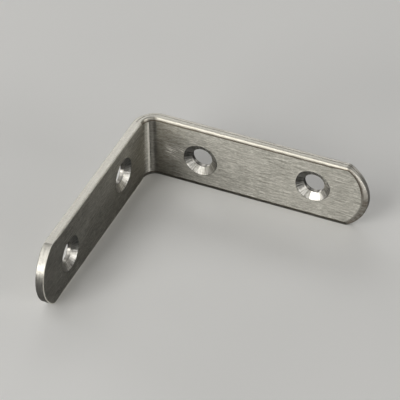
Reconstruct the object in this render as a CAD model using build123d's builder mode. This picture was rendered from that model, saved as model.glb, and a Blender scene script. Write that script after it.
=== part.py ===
from build123d import *
import math
import os

# Corner brace: one strip of stainless steel sheet with rounded ends, folded
# once to a right angle and drilled for two countersunk screws in each leg.
# It stands on its long edges. One leg runs along X, the other along Y.
# The origin is on the standing plane, at the middle of the overall outline.

# ---- driving dimensions (mm) ----
leg_length = 50.0          # outer corner to leg tip, both legs
strip_width = 15.0         # height of the standing brace
sheet = 1.8                # sheet thickness
fold_outer_radius = 4.7    # outside of the fold
fold_inner_radius = 2.5    # inside of the fold; the sheet thins a little here
end_radius = 8.7           # arc that rounds each leg tip, wider than half the strip
end_corner_radius = 1.4    # softening where the tip arc meets the long edge
roll_radius = 0.5          # rolled-over cut edge on the inner side
break_radius = 0.12        # broken sharp edge on the outer side

screw_radius = 2.2         # clearance for a 4 mm screw
sink_radius = 3.66         # mouth of the countersink, in the inner face
sink_angle = 118.0         # included angle left by a drill point
near_hole = 13.6           # outer corner to the hole beside the fold
far_hole = 38.25           # outer corner to the hole beside the tip
hole_line = strip_width / 2   # height of the line the holes zigzag about
stagger = 0.63             # each hole's offset above or below that line

# ---- derived ----
half = leg_length / 2
x_out = -half              # outer face of the leg along Y
y_out = half               # outer face of the leg along X
x_in = x_out + sheet       # inner faces
y_in = y_out - sheet
arc_start = half - end_radius + math.sqrt(end_radius**2 - (strip_width / 2) ** 2)
sink_depth = (sink_radius - screw_radius) / math.tan(math.radians(sink_angle / 2))
land = sheet - sink_depth  # length of the straight wall behind the cone
reach = leg_length * 2     # longer than anything it cuts

os.makedirs("parts", exist_ok=True)

with BuildPart() as corner_brace:
    # the fold, seen from above, drawn up to the strip's full width
    with BuildSketch(Plane.XY) as fold:
        with BuildLine():
            Polyline(
                (x_out, y_out),
                (half, y_out),
                (half, y_in),
                (x_in, y_in),
                (x_in, -half),
                (x_out, -half),
                close=True,
            )
        make_face()
        outer_corner = fold.vertices().sort_by_distance((x_out, y_out, 0))[0]
        fillet(outer_corner, radius=fold_outer_radius)
        inner_corner = fold.vertices().sort_by_distance((x_in, y_in, 0))[0]
        fillet(inner_corner, radius=fold_inner_radius)
    extrude(amount=strip_width)

    # the rounded tip of the leg along X, seen along Y
    with BuildSketch(Plane.XZ) as tip_x:
        with BuildLine():
            Polyline(
                (arc_start, strip_width),
                (-reach, strip_width),
                (-reach, 0),
                (arc_start, 0),
            )
            ThreePointArc(
                (arc_start, 0), (half, strip_width / 2), (arc_start, strip_width)
            )
        make_face()
        fillet(tip_x.vertices().group_by(Axis.X)[-1], radius=end_corner_radius)
    extrude(amount=reach, both=True, mode=Mode.INTERSECT)

    # the rounded tip of the leg along Y, seen along X
    with BuildSketch(Plane.YZ) as tip_y:
        with BuildLine():
            Polyline(
                (-arc_start, strip_width),
                (reach, strip_width),
                (reach, 0),
                (-arc_start, 0),
            )
            ThreePointArc(
                (-arc_start, 0), (-half, strip_width / 2), (-arc_start, strip_width)
            )
        make_face()
        fillet(tip_y.vertices().group_by(Axis.X)[0], radius=end_corner_radius)
    extrude(amount=reach, both=True, mode=Mode.INTERSECT)

    # cut edges: rolled over all round the inner side, barely broken outside
    def boundary(radius, plane_point):
        faces = [
            f
            for f in corner_brace.faces()
            if (
                f.geom_type == GeomType.PLANE
                and abs(f.normal_at().Z) < 0.01
                and (
                    abs(f.center().X - plane_point[0]) < 0.01
                    or abs(f.center().Y - plane_point[1]) < 0.01
                )
            )
            or (
                f.geom_type == GeomType.CYLINDER
                and abs(f.radius - radius) < 0.01
                and abs(f.normal_at().Z) < 0.01
            )
        ]
        edges = [e for f in faces for e in f.edges()]
        # an edge shared by two of the faces is a tangent line of the fold
        return ShapeList(
            e for e in edges if sum(e.is_same(other) for other in edges) == 1
        )

    fillet(boundary(fold_inner_radius, (x_in, y_in)), radius=roll_radius)
    fillet(boundary(fold_outer_radius, (x_out, y_out)), radius=break_radius)

    # screw holes, countersunk from the inner faces
    low, high = hole_line - stagger, hole_line + stagger
    for distance, height in ((near_hole, low), (far_hole, high)):
        seat = Plane(
            origin=(x_out + distance, y_in, height),
            x_dir=(1, 0, 0),
            z_dir=(0, -1, 0),
        )
        with Locations(seat):
            CounterSinkHole(
                radius=screw_radius,
                counter_sink_radius=sink_radius,
                depth=sheet * 2,
                counter_sink_angle=sink_angle,
            )
    for distance, height in ((near_hole, high), (far_hole, low)):
        seat = Plane(
            origin=(x_in, y_out - distance, height),
            x_dir=(0, 1, 0),
            z_dir=(1, 0, 0),
        )
        with Locations(seat):
            CounterSinkHole(
                radius=screw_radius,
                counter_sink_radius=sink_radius,
                depth=sheet * 2,
                counter_sink_angle=sink_angle,
            )

corner_brace.part.label = "corner_brace"
export_step(corner_brace.part, "parts/corner_brace.step")

print("land behind each countersink", round(land, 3), "mm")
print("volume", round(corner_brace.part.volume, 1), "mm3")
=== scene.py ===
import math

import bpy
import numpy as np
from mathutils import Matrix, Vector
from mathutils.geometry import delaunay_2d_cdt


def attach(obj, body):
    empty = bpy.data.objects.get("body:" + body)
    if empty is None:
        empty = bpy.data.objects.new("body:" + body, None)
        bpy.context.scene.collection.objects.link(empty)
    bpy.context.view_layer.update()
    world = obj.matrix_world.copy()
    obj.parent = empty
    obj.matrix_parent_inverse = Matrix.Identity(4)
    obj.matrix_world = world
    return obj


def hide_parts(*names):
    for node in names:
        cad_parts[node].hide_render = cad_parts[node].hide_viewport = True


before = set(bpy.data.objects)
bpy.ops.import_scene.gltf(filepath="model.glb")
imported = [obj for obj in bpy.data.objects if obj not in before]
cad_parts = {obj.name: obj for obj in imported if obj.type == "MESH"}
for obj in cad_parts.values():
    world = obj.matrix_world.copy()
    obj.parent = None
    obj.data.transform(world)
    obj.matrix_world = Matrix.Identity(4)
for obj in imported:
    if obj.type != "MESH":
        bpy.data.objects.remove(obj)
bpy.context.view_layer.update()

# --------------------------------------------------------------------------
# camera: long lens, three quarters from the front and above
# --------------------------------------------------------------------------
AZ, EL, ROLL = (math.radians(a) for a in (24.067, 40.144, -0.606))
DIST, FOCAL = 485.9, 2412.1          # mm to the aim point; focal length in image pixels
AIM, OFF_X, OFF_Y = Vector((-10.0, 13.0, 8.0)), -13.602, 12.751

back = Vector((math.sin(AZ) * math.cos(EL), -math.cos(AZ) * math.cos(EL), math.sin(EL)))
level = Vector((math.cos(AZ), math.sin(AZ), 0.0))
upward = back.cross(level)
cam_x = math.cos(ROLL) * level + math.sin(ROLL) * upward
cam_y = -math.sin(ROLL) * level + math.cos(ROLL) * upward
cam_at = (AIM + back * DIST - cam_x * (OFF_X * DIST / FOCAL) - cam_y * (OFF_Y * DIST / FOCAL)) / 1000

cam = bpy.data.cameras.new("camera")
cam_obj = bpy.data.objects.new("camera", cam)
bpy.context.scene.collection.objects.link(cam_obj)
cam_matrix = Matrix((cam_x, cam_y, back)).transposed().to_4x4()
cam_matrix.translation = cam_at
cam_obj.matrix_world = cam_matrix
cam.sensor_width = 36.0
cam.lens = FOCAL / 400 * 36
cam.clip_start, cam.clip_end = 0.01, 20.0
bpy.context.scene.camera = cam_obj

# --------------------------------------------------------------------------
# the strip, in millimetres, first as a flat pattern and then folded
#   u  along the strip, 0 at the middle of the fold, positive on the X leg
#   v  height, 0 to 15
#   n  through the sheet, 0 on the outer side and 1 on the inner side
# --------------------------------------------------------------------------
LEG, WIDTH, SHEET = 50.0, 15.0, 1.8
HALF = LEG / 2
R_OUT, R_IN = 4.7, 2.5
R_END, R_CORNER = 8.7, 1.5
R_HOLE, R_SINK = 2.2, 3.66
SINK_HALF_ANGLE = math.radians(59)
NEAR, FAR, STAGGER = 13.6, 38.25, 0.63
FOLD = 2.83                          # half the fold's length in the flat pattern
BLEND = 3.5                          # where both sides of the sheet fall in step again
SHIFT = 8.0 - BLEND - FOLD           # leg distance minus u beyond there
U_ARC = LEG - R_END - SHIFT          # centre of the tip's arc
rng = np.random.default_rng(7)


def smooth(a, b, x):
    t = np.clip((np.asarray(x, float) - a) / (b - a), 0, 1)
    return t * t * (3 - 2 * t)


def lattice(seed, size=64):
    return np.random.default_rng(seed).random((size, size))


def noise2(x, y, seed):
    """Smooth value noise, 0 to 1, one cell per unit."""
    g = lattice(seed)
    size = g.shape[0]
    xi, yi = np.floor(x).astype(int), np.floor(y).astype(int)
    fx, fy = x - xi, y - yi
    fx, fy = fx * fx * (3 - 2 * fx), fy * fy * (3 - 2 * fy)
    a, b = g[xi % size, yi % size], g[(xi + 1) % size, yi % size]
    c, d = g[xi % size, (yi + 1) % size], g[(xi + 1) % size, (yi + 1) % size]
    return (a * (1 - fx) + b * fx) * (1 - fy) + (c * (1 - fx) + d * fx) * fy


def place(u, v, n):
    """Flat pattern to folded sheet, in mm."""
    u, v, n = (np.asarray(q, float) for q in (u, v, n))
    w = np.abs(u) - FOLD
    d_out = np.where(w < BLEND, R_OUT + w * (8.0 - R_OUT) / BLEND, w + 8.0 - BLEND)
    d_in = np.where(w < BLEND, SHEET + R_IN + w * (8.0 - SHEET - R_IN) / BLEND, w + 8.0 - BLEND)
    phi = np.clip((u + FOLD) / (2 * FOLD), 0, 1) * math.pi / 2
    on_x, on_y = u > FOLD, u < -FOLD
    ox = np.where(on_x, -HALF + d_out, np.where(on_y, -HALF, -HALF + R_OUT * (1 - np.cos(phi))))
    oy = np.where(on_x, HALF, np.where(on_y, HALF - d_out, HALF - R_OUT * (1 - np.sin(phi))))
    ix = np.where(on_x, -HALF + d_in, np.where(on_y, -HALF + SHEET, -HALF + SHEET + R_IN * (1 - np.cos(phi))))
    iy = np.where(on_x, HALF - SHEET, np.where(on_y, HALF - d_in, HALF - SHEET - R_IN * (1 - np.sin(phi))))
    # the stretched outer side of the fold draws in at both long edges
    near_fold = np.exp(-((u / 3.1) ** 2))
    draw = 0.07 * near_fold * np.clip(1 - n, 0, 1) ** 1.3
    z = WIDTH / 2 + (v - WIDTH / 2) * (1 - draw / (WIDTH / 2))
    return np.stack([ox * (1 - n) + ix * n, oy * (1 - n) + iy * n, z], -1)


# ---- outline of the flat pattern: points and inward normals ----
def outline(step):
    c = R_END - R_CORNER
    fx = U_ARC + math.sqrt(c * c - (WIDTH / 2 - R_CORNER) ** 2)   # centre of a corner's softening
    fy = R_CORNER
    t_arc = math.atan2(WIDTH / 2 - fy, fx - U_ARC)                # where the softening meets the arc
    pts, nrm, tip = [], [], []

    def add(p, q, s):
        pts.append(p), nrm.append(q), tip.append(s)

    n_line = int(2 * fx / step)
    for k in range(n_line):                                       # bottom edge, -u to +u
        add((-fx + 2 * fx * k / n_line, 0.0), (0.0, 1.0), -90.0)
    n_c = 9
    for k in range(n_c):
        a = -math.pi / 2 + (math.pi / 2 - t_arc) * k / n_c
        add((fx + R_CORNER * math.cos(a), fy + R_CORNER * math.sin(a)), (-math.cos(a), -math.sin(a)), math.degrees(a))
    n_a = int(2 * t_arc * R_END / step)
    for k in range(n_a):
        a = -t_arc + 2 * t_arc * k / n_a
        add((U_ARC + R_END * math.cos(a), WIDTH / 2 + R_END * math.sin(a)), (-math.cos(a), -math.sin(a)), math.degrees(a))
    for k in range(n_c):
        a = t_arc + (math.pi / 2 - t_arc) * k / n_c
        add((fx + R_CORNER * math.cos(a), WIDTH - fy + R_CORNER * math.sin(a)), (-math.cos(a), -math.sin(a)), math.degrees(a))
    p, q, s = np.array(pts), np.array(nrm), np.array(tip)
    # the other half is this one turned half a turn about the fold's middle
    p2, q2 = -p + (0, WIDTH), -q
    side = np.concatenate([np.ones(len(p)), -np.ones(len(p))])
    # angle at a tip, positive above the middle, on both legs
    ang = np.concatenate([s, np.where(np.abs(s) >= 89.9, 90.0, -s)])
    return np.concatenate([p, p2]), np.concatenate([q, q2]), side, ang


P, Q, SIDE, ANG = outline(0.2)
N = len(P)
on_tip = np.abs(P[:, 0]) > U_ARC + 2.0
x_tip, y_tip = on_tip & (P[:, 0] > 0), on_tip & (P[:, 0] < 0)

# rolled edge on the inner side: how far in from the outline, and how deep
top_edge = P[:, 1] > WIDTH / 2
roll_w = np.full(N, 0.92)
roll_d = np.full(N, 0.44)
ground_w = np.interp(ANG, [-90, -58, -30, 0, 20, 45, 70, 90], [0.92, 1.10, 1.40, 1.30, 1.05, 0.62, 0.5, 0.7])
ground_d = np.interp(ANG, [-90, -58, -30, 0, 20, 45, 70, 90], [0.50, 0.7, 0.9, 0.9, 0.75, 0.5, 0.45, 0.5])
roll_w = np.where(x_tip, ground_w, roll_w)
roll_d = np.where(x_tip, ground_d, roll_d)
roll_w = np.where(P[:, 0] < -3, 0.36, roll_w)
roll_d = np.where(P[:, 0] < -3, 0.26, roll_d)
roll_w = np.where(y_tip, 0.20, roll_w)
roll_d = np.where(y_tip, 0.15, roll_d)
# short, slight unevenness of a tumbled edge, and a soft run between zones
arc = np.concatenate([[0], np.cumsum(np.hypot(*(np.roll(P, -1, 0) - P).T))])[:-1]
wob = noise2(arc / 5.3, arc * 0, 3) - 0.5
ker = np.hanning(19); ker /= ker.sum()


def around(a):
    return np.convolve(np.concatenate([a[-9:], a, a[:9]]), ker, "valid")


roll_w, roll_d = around(roll_w) + 0.010 * wob, around(roll_d) + 0.007 * wob

verts, faces, mats, flow = [], [], [], []     # flow: (along the marks, across them) for each corner


def add_points(p):
    base = len(verts)
    verts.extend(map(tuple, p))
    return np.arange(base, base + len(p))


def band(a, b, mat, fa, fb, close):
    """Quads between two closed rings of the same length. close is the flow's length right round."""
    m = len(a)
    for k in range(m):
        j = (k + 1) % m
        faces.append((a[k], a[j], b[j], b[k]))
        wrap = close if j == 0 else 0.0
        mats.append(mat if isinstance(mat, int) else int(mat[k]))
        flow.append(((fa[k][0], fa[k][1]), (fa[j][0] + wrap, fa[j][1]), (fb[j][0] + wrap, fb[j][1]), (fb[k][0], fb[k][1])))


# ---- cut edge: inner face boundary, roll, burnished land, fracture, outer break ----
OUTER = 200.0                        # the outer face's marks are taken from elsewhere in the same brushing


def wall_rings():
    rings = [(roll_w + 0.15, 1, 1)]                       # flat ring on the inner face
    # the roll: a wide curve off the face, then a tight turn into the cut edge
    d0, r1, r2 = math.radians(22), 2.0, 0.25
    wide, deep = r1 * math.sin(d0) + r2 * (1 - math.sin(d0)), r1 * (1 - math.cos(d0)) + r2 * math.cos(d0)
    for t in (0, 0.18, 0.36, 0.54, 0.72, 0.88, 1.0):
        a = d0 * t
        curve, bevel = 1 - math.cos(a), (1 - math.cos(d0)) * (0.6 * t + 0.4 * t * t)
        rings.append((roll_w * (1 - r1 * math.sin(a) / wide), 1 - roll_d * r1 * (curve + (bevel - curve) * 0.5 * dressed) / deep / SHEET, 1))
    for t in (0.2, 0.4, 0.6, 0.8, 1.0):
        a = d0 + (math.pi / 2 - d0) * t
        x = r1 * math.sin(d0) + r2 * (math.sin(a) - math.sin(d0))
        y = r1 * (1 - math.cos(d0)) + r2 * (math.cos(d0) - math.cos(a))
        rings.append((roll_w * (1 - x / wide), 1 - roll_d * y / deep / SHEET, 1))
    d0 = roll_d
    burn = 0.44 + 0.10 * (noise2(arc / 2.9, arc * 0 + 5, 11) - 0.5)
    for t in (0.35, 0.7, 1.0):                            # burnished band, straight
        d = d0 + (SHEET - d0 - 0.12) * burn * t
        rings.append((0.0 * arc, 1 - d / SHEET, 1))
    tear = 0.022 + 0.016 * noise2(arc / 1.3, arc * 0 + 9, 12)
    for t, k in ((0.12, 0.55), (0.3, 1.0), (0.55, 0.95), (0.8, 0.7), (1.0, 0.5)):   # fracture, a little inside
        d = d0 + (SHEET - d0 - 0.12) * (burn + (1 - burn) * t)
        rough = 0.008 * (noise2(arc / 1.1, arc * 0 + 20 * t, 13) - 0.5)
        rings.append((tear * k + rough * k, 1 - d / SHEET, 1))
    for t in (0.34, 0.67, 1.0):                           # broken outer corner
        a = t * math.pi / 2
        e = tear * 0.5 + 0.12 * (1 - math.cos(a))
        d = SHEET - 0.12 + 0.12 * math.sin(a)
        rings.append((e, 1 - d / SHEET, 1))
    rings.append((tear * 0.5 + 0.12 + 0.15, 0, 1))        # flat ring on the outer face
    return rings


dressed = around(np.where(x_tip & (np.abs(ANG) < 56), 1.0, 0.0))
total = arc[-1] + np.hypot(*(P[0] - P[-1]))
ring_ids, ring_flow = [], []
rings = wall_rings()
depth_along = 0.0
for e, n, _ in rings:
    e = np.zeros(N) + e
    n = np.zeros(N) + n
    p = P + Q * e[:, None]
    ring_ids.append(add_points(np.column_stack([p, n])))
    ring_flow.append(np.column_stack([arc, (1 - n) * SHEET + roll_w - e]))
ground = np.where(x_tip & (np.abs(ANG) < 62), 4, 1)       # the X leg's tip was dressed on a belt
# the roll on the Y leg takes material 6, painted pale as a highlight
rolled = np.where(ground == 4, 4, np.where(P[:, 0] < -3, 6, 5))
painted_shade_torn = np.where((P[:, 0] > -3) & (noise2(arc / 2.6, arc * 0 + 3, 14) > 0.24), 7, 1)   # painted shade: a dark line along the step where the fracture starts
for k in range(len(rings) - 1):
    if k == 0 or k == len(rings) - 2:                     # still the broad face, brushed along the strip
        away = OUTER if k else 0.0
        fa, fb = ([(verts[i][0] + away, verts[i][1]) for i in ring_ids[q]] for q in (k, k + 1))
        band(ring_ids[k + 1], ring_ids[k], 0, fb, fa, 0.0)
    else:
        band(ring_ids[k + 1], ring_ids[k], rolled if k < 11 else painted_shade_torn if k in (15, 16) else 1, ring_flow[k + 1], ring_flow[k], total)
inner_loop, outer_loop = ring_ids[0], ring_ids[-1]

# ---- holes ----
HOLES = [
    (NEAR - SHIFT, WIDTH / 2 - STAGGER, 1),
    (FAR - SHIFT, WIDTH / 2 + STAGGER, 2),
    (-(NEAR - SHIFT), WIDTH / 2 + STAGGER, 3),
    (-(FAR - SHIFT), WIDTH / 2 - STAGGER, 4),
]
SEG = 112
th = np.linspace(0, 2 * math.pi, SEG, endpoint=False)
sink_depth = (R_SINK - R_HOLE) / math.tan(SINK_HALF_ANGLE)
hole_inner, hole_outer = [], []
for hu, hv, seed in HOLES:
    r0 = np.random.default_rng(100 + seed)
    ph = r0.random(6) * 2 * math.pi
    # the countersink's mouth is a touch out of round, and its lip stands up unevenly
    lobes = 0.018 * np.sin(3 * th + ph[0]) + 0.012 * np.sin(5 * th + ph[1])
    lip = 0.012 + 0.008 * np.sin(2 * th + ph[2]) + 0.006 * np.sin(7 * th + ph[3])
    lip = np.clip(lip, 0.003, None) + 0.022 * np.clip(np.cos(th - math.radians(222)), 0, 1) ** 3
    # chatter: shallow radial steps where the drill point skipped
    where = np.clip(np.sin(th - ph[4]) * 0.9 + 0.25, 0, 1)
    zone = np.clip(np.cos(th - math.radians(205)), 0, 1) ** 1.2
    steps = noise2(th * 6.2 + ph[0] * 9, th * 0 + seed, 40 + seed) - 0.5
    steps = steps * (1 - smooth(5.7, 6.2, th)) + (noise2(ph[0] * 9 + th * 0, th * 0 + seed, 40 + seed) - 0.5) * smooth(5.7, 6.2, th)
    chat = (0.010 + 0.045 * zone) * steps + (0.003 + 0.018 * zone) * np.sin(23 * th + 2.0 * np.sin(3 * th + ph[5]))
    chat += 0.006 * np.sin(9 * th + ph[1]) * where
    prof = []
    prof.append((R_SINK + 0.30, 0.0, 0, 0.0, 0))                # inner face, clear of the lip
    prof.append((R_SINK + 0.14, 0.12, 0, 0.0, 0))
    prof.append((R_SINK + 0.06, 0.75, 0, 0.0, 0))
    prof.append((R_SINK + 0.01, 1.0, 0, 0.1, 2))
    prof.append((R_SINK - 0.04, 0.35, 0.016, 0.4, 2))
    for t in (0.1, 0.22, 0.36, 0.5, 0.64, 0.78, 0.9, 0.97):
        prof.append((R_SINK + (R_HOLE - R_SINK) * t, 0, sink_depth * t, 1.0 if t < 0.9 else 0.6, 2))
    prof.append((R_HOLE + 0.005, 0, sink_depth + 0.03, 0.2, 3))
    for t in (0.3, 0.6, 0.86):
        prof.append((R_HOLE, 0, sink_depth + (SHEET - sink_depth) * t, 0.0, 3))
    prof.append((R_HOLE, 0, SHEET - 0.10, 0.0, 3))
    prof.append((R_HOLE + 0.03, 0, SHEET - 0.03, 0.0, 3))
    prof.append((R_HOLE + 0.10, 0, SHEET, 0.0, 3))
    ids, fl, slant = [], [], 0.0
    for k, (r, liph, d, ch, _) in enumerate(prof):
        rr = r + lobes * (1 if r > R_HOLE + 0.3 else 0)
        depth = d - lip * liph + (chat * ch)
        if d > 0 and ch > 0:
            depth = np.clip(depth, 0.0, SHEET)
        ids.append(add_points(np.column_stack([hu + rr * np.cos(th), hv + rr * np.sin(th), 1 - depth / SHEET])))
        if k:
            slant += math.hypot(r - prof[k - 1][0], d - prof[k - 1][2])
        fl.append(np.column_stack([th * R_SINK, np.full(SEG, slant)]))
    for k in range(len(prof) - 1):
        if prof[k + 1][4] == 0:
            fa, fb = ([verts[i][:2] for i in ids[q]] for q in (k, k + 1))
            band(ids[k], ids[k + 1], 0, fa, fb, 0.0)
        else:
            band(ids[k], ids[k + 1], prof[k + 1][4], fl[k], fl[k + 1], 2 * math.pi * R_SINK)
    hole_inner.append((ids[0], hu, hv, R_SINK + 0.30))
    hole_outer.append((ids[-1], hu, hv, R_HOLE + 0.10))


# ---- broad faces: constrained triangles inside the loops ----
def inside_margin(x, y):
    """Distance inside the outline, roughly; negative outside."""
    m = np.minimum(y, WIDTH - y)
    far = np.abs(x) > U_ARC
    r = np.hypot(np.abs(x) - U_ARC, y - WIDTH / 2)
    return np.where(far, np.minimum(m, R_END - r), m)


def fill_points(edge, holes, fine):
    xs = []
    x = 0.0
    cols = [0.0]
    while x < LEG:
        step = (0.055 if x < 0.3 else 0.11 if x < 1.0 else 0.17 if x < FOLD + 0.2 else 0.42) if fine else (0.22 if x < FOLD + 0.2 else 0.45)
        x += step
        cols.append(x)
    out = []
    for k, c in enumerate(cols):
        for s in ((1, -1) if c else (1,)):
            dy = 0.42 if c > FOLD else 0.5
            rows = np.arange(0, WIDTH, dy) + (dy / 2 if k % 2 else 0) + 0.1
            out.append(np.column_stack([np.full(len(rows), s * c), rows]))
    pts = np.concatenate(out)
    keep = inside_margin(pts[:, 0], pts[:, 1]) > edge + 0.30
    for _, hu, hv, r in holes:
        keep &= np.hypot(pts[:, 0] - hu, pts[:, 1] - hv) > r + 0.24
    return pts[keep]


def broad_face(loop, holes, edge, n_value, flip, fine):
    pts = [np.array([verts[i][:2] for i in loop])]
    ids = [loop]
    edges = [(k, (k + 1) % len(loop)) for k in range(len(loop))]
    base = len(loop)
    owner = [-1] * base
    for q, (hid, *_) in enumerate(holes):
        pts.append(np.array([verts[i][:2] for i in hid]))
        ids.append(hid)
        edges += [(base + k, base + (k + 1) % len(hid)) for k in range(len(hid))]
        base += len(hid)
        owner += [q] * len(hid)
    inner = fill_points(edge, holes, fine)
    # not too close to the wide part of the roll at the ground tip
    lp = pts[0]
    near_tip = np.abs(inner[:, 0]) > U_ARC
    d = np.full(len(inner), 9.0)
    idx = np.where(near_tip)[0]
    if len(idx):
        d[idx] = np.sqrt(((inner[idx, None, :] - lp[None, :, :]) ** 2).sum(-1)).min(1)
        cen = np.array([np.median(lp[:, 0]), WIDTH / 2])
        # drop points outside the loop, by their angle round the tip's centre
        for i in idx:
            s = 1 if inner[i, 0] > 0 else -1
            a = math.atan2(inner[i, 1] - WIDTH / 2, s * inner[i, 0] - U_ARC)
            m = (np.sign(lp[:, 0]) == s) & (np.abs(lp[:, 0]) > U_ARC - 1)
            la = np.arctan2(lp[m, 1] - WIDTH / 2, s * lp[m, 0] - U_ARC)
            lr = np.hypot(lp[m, 1] - WIDTH / 2, s * lp[m, 0] - U_ARC)
            if math.hypot(inner[i, 1] - WIDTH / 2, s * inner[i, 0] - U_ARC) > lr[np.argmin(np.abs(la - a))] - 0.22:
                d[i] = 0.0
    inner = inner[d > 0.2]
    new = add_points(np.column_stack([inner, np.full(len(inner), n_value)]))
    allpts = np.concatenate(pts + [inner])
    allids = np.concatenate([np.asarray(i) for i in ids] + [new])
    vv, _, ff, orig, _, _ = delaunay_2d_cdt([Vector(p) for p in allpts], edges, [], 1, 1e-7)
    if len(vv) != len(allpts):
        raise RuntimeError("the broad face gained or lost a point")
    back_to = [o[0] for o in orig]
    owner += [-1] * len(inner)
    for f in ff:
        a = [allpts[back_to[i]] for i in f]
        rim = {owner[back_to[i]] for i in f}
        if len(rim) == 1 and rim != {-1}:                     # inside a hole: all three corners on its rim
            continue
        area = (a[1][0] - a[0][0]) * (a[2][1] - a[0][1]) - (a[2][0] - a[0][0]) * (a[1][1] - a[0][1])
        f = list(f)
        if (area < 0) != flip:
            f = f[::-1]
        faces.append(tuple(int(allids[back_to[i]]) for i in f))
        mats.append(0)
        flow.append(tuple((allpts[back_to[i]][0] + (OUTER if flip else 0.0), allpts[back_to[i]][1]) for i in f))


broad_face(inner_loop, hole_inner, 0.95, 1.0, False, True)
broad_face(outer_loop, hole_outer, 0.30, 0.0, True, False)

V = np.array(verts)
u, v, n = V.T.copy()

# ---- shape of the surfaces themselves ----
# the press's nose leaves a shallow pointed line inside the fold
tent = np.clip(1 - np.abs(u - 0.05) / np.where(u < 0.05, 0.85, 0.60), 0, 1)
groove = 0.085 * tent + 0.055 * np.exp(-(((u - 0.05) / 0.10) ** 2))
groove *= smooth(0.9, 1.9, v) * smooth(WIDTH - 0.75, WIDTH - 1.6, v)
inner_side = smooth(0.93, 1.0, n)
n = n - inner_side * groove / SHEET
# rolled stock is never quite flat, and the strip dishes a little round each countersink
broad = 0.010 * noise2(u / 7.0 + 9, v / 5.0, 21) + 0.004 * noise2(u / 1.9 + 30, v / 1.3, 22)
n_in = broad / SHEET
n = n - n_in * smooth(0.35, 1.0, n) + n_in * 0.7 * smooth(0.35, 0.0, n)
XYZ = place(u, v, n)

mesh = bpy.data.meshes.new("corner_brace_sheet")
mesh.from_pydata([tuple(p) for p in XYZ / 1000], [], faces)
mesh.validate(verbose=False)
mesh.update()
if len(mesh.polygons) != len(faces):
    raise RuntimeError("a face was lost")
mesh.polygons.foreach_set("material_index", mats)
mesh.polygons.foreach_set("use_smooth", [True] * len(faces))
uv = mesh.uv_layers.new(name="flow")
uv.data.foreach_set("uv", np.array([c for f in flow for c in f], np.float32).ravel())
mesh.update()
brace = bpy.data.objects.new("corner_brace_sheet", mesh)
bpy.context.scene.collection.objects.link(brace)


# --------------------------------------------------------------------------
# materials
# --------------------------------------------------------------------------
class Nodes:
    def __init__(self, name):
        self.mat = bpy.data.materials.new(name)
        self.mat.use_nodes = True
        self.t = self.mat.node_tree
        self.bsdf = self.t.nodes["Principled BSDF"]

    def add(self, kind, **props):
        node = self.t.nodes.new(kind)
        for k, val in props.items():
            setattr(node, k, val)
        return node

    def link(self, a, b):
        self.t.links.new(a, b)

    def flow(self, along, across, turn=0.0):
        """The flow map scaled to cycles per mm along and across the marks."""
        m = self.add("ShaderNodeUVMap", uv_map="flow")
        if turn:
            r = self.add("ShaderNodeMapping")
            r.inputs["Rotation"].default_value = (0, 0, turn)
            self.link(m.outputs[0], r.inputs[0])
            m = r
        s = self.add("ShaderNodeMapping")
        s.inputs["Scale"].default_value = (along, across, 1)
        self.link(m.outputs[0], s.inputs[0])
        return s.outputs[0]

    def place(self):
        """The flow map itself: millimetres along the strip and up it."""
        m = self.add("ShaderNodeUVMap", uv_map="flow")
        s = self.add("ShaderNodeSeparateXYZ")
        self.link(m.outputs[0], s.inputs[0])
        return s.outputs[0], s.outputs[1]

    def noise(self, vector, detail=2.0, rough=0.55, distort=0.0, scale=1.0):
        q = self.add("ShaderNodeTexNoise")
        q.inputs["Scale"].default_value = scale
        q.inputs["Detail"].default_value = detail
        q.inputs["Roughness"].default_value = rough
        q.inputs["Distortion"].default_value = distort
        self.link(vector, q.inputs["Vector"])
        return q.outputs["Fac"]

    def ramp(self, value, lo, hi, a=0.0, b=1.0):
        r = self.add("ShaderNodeMapRange", interpolation_type="SMOOTHSTEP")
        self.link(value, r.inputs["Value"])
        for k, x in zip(("From Min", "From Max", "To Min", "To Max"), (lo, hi, a, b)):
            r.inputs[k].default_value = x
        return r.outputs["Result"]

    def math(self, op, a, b):
        m = self.add("ShaderNodeMath", operation=op)
        for k, x in enumerate((a, b)):
            if isinstance(x, (int, float)):
                m.inputs[k].default_value = x
            else:
                self.link(x, m.inputs[k])
        return m.outputs[0]

    def colour(self, value, stops):
        r = self.add("ShaderNodeValToRGB")
        self.link(value, r.inputs[0])
        el = r.color_ramp.elements
        while len(el) < len(stops):
            el.new(0.5)
        for e, (pos, c) in zip(el, stops):
            e.position, e.color = pos, (*c, 1)
        return r.outputs[0]

    def mix(self, fac, a, b, mode="MIX"):
        m = self.add("ShaderNodeMix", data_type="RGBA", blend_type=mode)
        if isinstance(fac, (int, float)):
            m.inputs[0].default_value = fac
        else:
            self.link(fac, m.inputs[0])
        for k, x in ((6, a), (7, b)):
            if isinstance(x, tuple):
                m.inputs[k].default_value = (*x, 1)
            else:
                self.link(x, m.inputs[k])
        return m.outputs[2]

    def bump(self, height, distance, strength=1.0, normal=None):
        b = self.add("ShaderNodeBump")
        b.inputs["Strength"].default_value = strength
        b.inputs["Distance"].default_value = distance
        self.link(height, b.inputs["Height"])
        if normal is not None:
            self.link(normal, b.inputs["Normal"])
        return b.outputs[0]

    def steel(self, colour, rough, normal, aniso, metal=1.0):
        b = self.bsdf
        b.inputs["Metallic"].default_value = metal
        b.inputs["Anisotropic"].default_value = aniso
        b.inputs["Anisotropic Rotation"].default_value = 0.25
        self.link(colour, b.inputs["Base Color"])
        self.link(rough, b.inputs["Roughness"])
        self.link(normal, b.inputs["Normal"])
        t = self.add("ShaderNodeTangent", direction_type="UV_MAP", uv_map="flow")
        self.link(t.outputs[0], b.inputs["Tangent"])
        return self.mat


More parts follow.
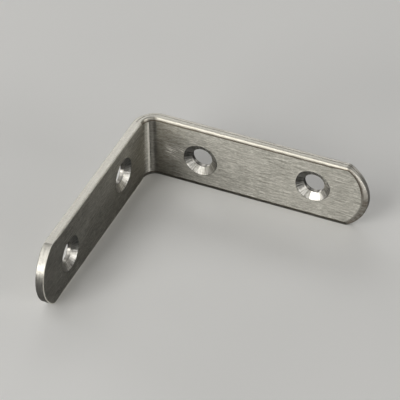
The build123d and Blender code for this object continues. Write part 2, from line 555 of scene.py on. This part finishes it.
def brushed_face():
    m = Nodes("brushed_face")
    hair = m.noise(m.flow(0.25, 4.4), 4.0, 0.6, 0.2)            # long hairlines
    grain = m.noise(m.flow(0.75, 2.7), 4.0, 0.62, 0.5)          # short, wider strokes
    cloud = m.noise(m.flow(0.10, 0.16), 3.0, 0.5)               # slow mottling
    fleck = m.noise(m.flow(2.2, 5.0), 2.0, 0.5)
    tone = m.math("ADD", m.math("MULTIPLY", hair, 0.42), m.math("ADD", m.math("MULTIPLY", grain, 0.36), m.math("MULTIPLY", fleck, 0.22)))
    colour = m.colour(tone, [(0.39, (0.31, 0.301, 0.262)), (0.50, (0.485, 0.473, 0.423)), (0.59, (0.69, 0.676, 0.614))])
    colour = m.mix(m.ramp(cloud, 0.35, 0.7, 0.0, 0.22), colour, (0.46, 0.44, 0.405))
    # a few stray handling scratches across the brushing
    scr = m.noise(m.flow(0.5, 9.0), 1.0, 0.4, 1.6)
    scratch = m.ramp(scr, 0.70, 0.74, 0.0, 0.35)
    colour = m.mix(scratch, colour, (0.74, 0.73, 0.70))
    # painted shade: the face is made darker and browner beside the fold, where the other leg shades it
    u, v = m.place()
    painted_shade_by_fold = m.math("MULTIPLY", m.ramp(u, -2.0, 2.6), m.ramp(m.math("ADD", u, m.math("MULTIPLY", cloud, 5.0)), 6.0, 13.0, 1.0, 0.0))
    colour = m.mix(m.math("MULTIPLY", painted_shade_by_fold, 0.55), colour, (0.60, 0.57, 0.53), "MULTIPLY")
    # painted highlight: a narrow pale line inside the fold, along the press's nose line
    painted_highlight_nose = m.math("MULTIPLY", m.ramp(u, -0.85, -0.45), m.ramp(u, -0.04, 0.12, 1.0, 0.0))
    colour = m.mix(m.math("MULTIPLY", painted_highlight_nose, 0.7), colour, (0.88, 0.855, 0.78))
    # a patch of fine scratches running down towards the first hole
    near = m.math("MULTIPLY", m.math("MULTIPLY", m.ramp(u, 3.6, 4.6), m.ramp(u, 8.2, 9.6, 1.0, 0.0)),
                  m.math("MULTIPLY", m.ramp(v, 5.4, 6.4), m.ramp(v, 8.4, 9.6, 1.0, 0.0)))
    fine = m.ramp(m.noise(m.flow(0.42, 7.5, 0.20), 1.0, 0.4, 0.4), 0.565, 0.62)
    colour = m.mix(m.math("MULTIPLY", near, fine), colour, (0.95, 0.93, 0.87))
    rough = m.ramp(m.math("ADD", m.math("MULTIPLY", hair, 0.6), m.math("MULTIPLY", cloud, 0.4)), 0.25, 0.75, 0.40, 0.56)
    height = m.math("ADD", m.math("MULTIPLY", hair, 0.6), m.math("ADD", m.math("MULTIPLY", grain, 0.7), m.math("MULTIPLY", fleck, 0.25)))
    return m.steel(colour, rough, m.bump(height, 0.00006, 0.8), 0.80)


def cut_edge():
    m = Nodes("cut_edge")
    run = m.noise(m.flow(0.35, 5.0), 4.0, 0.6)
    tear = m.noise(m.flow(3.5, 0.9), 3.0, 0.6)                  # marks across the edge, through the sheet
    tone = m.math("ADD", m.math("MULTIPLY", run, 0.6), m.math("MULTIPLY", tear, 0.4))
    colour = m.colour(tone, [(0.32, (0.40, 0.39, 0.35)), (0.52, (0.56, 0.545, 0.50)), (0.68, (0.70, 0.685, 0.635))])
    rough = m.ramp(tone, 0.3, 0.7, 0.34, 0.50)
    height = m.math("ADD", m.math("MULTIPLY", run, 0.5), m.math("MULTIPLY", tear, 0.6))
    return m.steel(colour, rough, m.bump(height, 0.00005, 0.8), 0.45, 0.9)


def rolled_edge():
    m = Nodes("rolled_edge")
    run = m.noise(m.flow(0.5, 2.6), 3.0, 0.55)
    spot = m.noise(m.flow(0.9, 0.9), 2.0, 0.5)
    tone = m.math("ADD", m.math("MULTIPLY", run, 0.6), m.math("MULTIPLY", spot, 0.4))
    colour = m.colour(tone, [(0.34, (0.38, 0.362, 0.315)), (0.52, (0.50, 0.482, 0.425)), (0.68, (0.61, 0.592, 0.53))])
    u, v = m.place()
    painted_shade_band = m.ramp(m.math("ADD", v, m.math("MULTIPLY", spot, 0.16)), 0.30, 0.52, 0.85, 0.0)
    colour = m.mix(painted_shade_band, colour, (0.25, 0.205, 0.155))         # painted shade: dark brown where the roll turns off the face
    rough = m.ramp(tone, 0.3, 0.7, 0.38, 0.50)
    return m.steel(colour, rough, m.bump(tone, 0.00004, 0.7), 0.3)


def painted_shade_tear_line():
    # painted shade: dark colours for the line where the fracture starts
    m = Nodes("painted_shade_tear_line")
    run = m.noise(m.flow(0.9, 2.0), 3.0, 0.6)
    colour = m.colour(run, [(0.34, (0.16, 0.145, 0.12)), (0.52, (0.26, 0.24, 0.205)), (0.68, (0.46, 0.44, 0.40))])
    return m.steel(colour, m.ramp(run, 0.3, 0.7, 0.40, 0.52), m.bump(run, 0.00004, 0.7), 0.3)


def painted_highlight_corner():
    m = Nodes("painted_highlight_corner")                                  # painted highlight: the Y leg's thin inner corner is made pale
    run = m.noise(m.flow(0.8, 1.5), 3.0, 0.55)
    colour = m.colour(run, [(0.34, (0.60, 0.575, 0.50)), (0.52, (0.76, 0.735, 0.66)), (0.68, (0.88, 0.86, 0.79))])
    return m.steel(colour, m.ramp(run, 0.3, 0.7, 0.40, 0.52), m.bump(run, 0.00004, 0.7), 0.2, 0.45)


def turned_cone():
    m = Nodes("turned_cone")
    rings = m.noise(m.flow(0.25, 9.0), 3.0, 0.6)
    skip = m.noise(m.flow(1.9, 0.35), 3.0, 0.62)
    tone = m.math("ADD", m.math("MULTIPLY", rings, 0.25), m.math("MULTIPLY", skip, 0.75))
    colour = m.colour(tone, [(0.38, (0.36, 0.345, 0.30)), (0.49, (0.74, 0.725, 0.675)), (0.60, (0.95, 0.935, 0.89))])
    rough = m.ramp(tone, 0.3, 0.7, 0.32, 0.48)
    height = m.math("ADD", m.math("MULTIPLY", rings, 0.35), m.math("MULTIPLY", skip, 1.0))
    return m.steel(colour, rough, m.bump(height, 0.00006, 0.9), 0.35)


def arc_at(angle):
    """Length round the outline to an angle on the X leg's tip."""
    k = np.where(x_tip)[0]
    return float(arc[k[np.argmin(np.abs(ANG[k] - angle))]])


def ground_tip():
    m = Nodes("ground_tip")
    stria = m.noise(m.flow(4.2, 0.35), 3.0, 0.6)                # strokes across the edge
    patch = m.noise(m.flow(0.45, 0.5), 2.0, 0.5)
    colour = m.colour(stria, [(0.34, (0.20, 0.175, 0.14)), (0.50, (0.35, 0.325, 0.28)), (0.64, (0.54, 0.52, 0.47))])
    colour = m.mix(m.ramp(patch, 0.45, 0.65, 0.0, 0.5), colour, (0.33, 0.27, 0.215))
    u, v = m.place()
    inner = m.ramp(v, 0.0, 0.55, 0.85, 0.0)                     # runs out into the face
    colour = m.mix(inner, colour, (0.47, 0.457, 0.41))
    high = m.ramp(u, arc_at(-4), arc_at(22))                    # painted shade: a dark line inside the upper half, as on the straight edge
    painted_shade_seam = m.math("MULTIPLY", high, m.ramp(v, 0.22, 0.44, 0.9, 0.0))
    colour = m.mix(painted_shade_seam, colour, (0.13, 0.105, 0.08))
    # painted highlight: a pale line beyond the painted shade, in the upper half
    painted_highlight_line = m.math("MULTIPLY", high, m.ramp(v, 0.50, 0.72))
    colour = m.mix(m.math("MULTIPLY", painted_highlight_line, 0.8), colour, (0.88, 0.85, 0.77))
    rough = m.ramp(stria, 0.3, 0.7, 0.42, 0.60)
    return m.steel(colour, rough, m.bump(stria, 0.00009, 0.9), 0.2, 0.72)


def drilled_bore():
    m = Nodes("drilled_bore")
    rings = m.noise(m.flow(0.2, 7.0), 3.0, 0.6)
    colour = m.colour(rings, [(0.3, (0.30, 0.29, 0.27)), (0.7, (0.48, 0.47, 0.44))])
    rough = m.ramp(rings, 0.3, 0.7, 0.30, 0.45)
    return m.steel(colour, rough, m.bump(rings, 0.00002, 0.8), 0.5)


for make in (brushed_face, cut_edge, turned_cone, drilled_bore, ground_tip, rolled_edge, painted_highlight_corner, painted_shade_tear_line):
    mesh.materials.append(make())

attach(brace, "root")
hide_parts("corner_brace")

# --------------------------------------------------------------------------
# floor, light, surroundings
# --------------------------------------------------------------------------
bpy.ops.mesh.primitive_plane_add(size=6.0, location=(0, 0, 0))
floor = bpy.context.object
floor.name = "floor"
fm = bpy.data.materials.new("pale_floor")
fm.use_nodes = True
fb = fm.node_tree.nodes["Principled BSDF"]
fb.inputs["Base Color"].default_value = (0.84, 0.84, 0.83, 1)
fb.inputs["Roughness"].default_value = 0.9
fb.inputs["Specular IOR Level"].default_value = 0.15
floor.data.materials.append(fm)
floor.visible_glossy = False           # the metal mirrors the lights and the dim room, not the floor


def softbox(name, azimuth, elevation, distance, size_x, size_y, watts, colour=(1, 1, 1)):
    """azimuth is the side that the light comes from, in degrees from +X towards +Y."""
    light = bpy.data.lights.new(name, "AREA")
    light.shape = "RECTANGLE"
    light.size, light.size_y = size_x, size_y
    light.energy = watts
    light.color = colour
    o = bpy.data.objects.new(name, light)
    bpy.context.scene.collection.objects.link(o)
    a, e = math.radians(azimuth), math.radians(elevation)
    d = Vector((math.cos(a) * math.cos(e), math.sin(a) * math.cos(e), math.sin(e)))
    o.location = d * distance
    o.rotation_euler = (-d).to_track_quat("-Z", "Y").to_euler()
    return o


softbox("key", 248, 9, 0.9, 0.52, 0.26, 3.4, (1.0, 0.985, 0.95))
softbox("key_high", 245, 42, 0.9, 0.50, 0.50, 2.5, (1.0, 0.99, 0.96))
softbox("top", 188, 66, 0.9, 0.50, 0.50, 1.0, (1.0, 0.99, 0.97))
softbox("front", 308, 10, 0.9, 0.34, 0.26, 1.2, (1.0, 0.985, 0.955))
softbox("back", 120, 37, 0.9, 0.46, 0.26, 1.05, (1.0, 0.99, 0.965))
softbox("back_mid", 86, 42, 0.9, 0.46, 0.26, 0.42, (1.0, 0.99, 0.965))
softbox("rear", 156, 9, 0.9, 0.50, 0.26, 2.4, (1.0, 0.99, 0.97))
softbox("right", -7, 12, 0.9, 0.40, 0.30, 2.6, (1.0, 0.985, 0.96))
softbox("far_right", 52, 20, 0.9, 0.34, 0.34, 0.55, (1.0, 0.985, 0.96))

world = bpy.data.worlds.new("studio")
bpy.context.scene.world = world
world.use_nodes = True
world.node_tree.nodes["Background"].inputs[0].default_value = (0.95, 0.97, 1.0, 1)
world.node_tree.nodes["Background"].inputs[1].default_value = 0.02

scene = bpy.context.scene
scene.view_settings.view_transform = "Standard"
scene.view_settings.look = "None"
scene.view_settings.exposure = 0.0
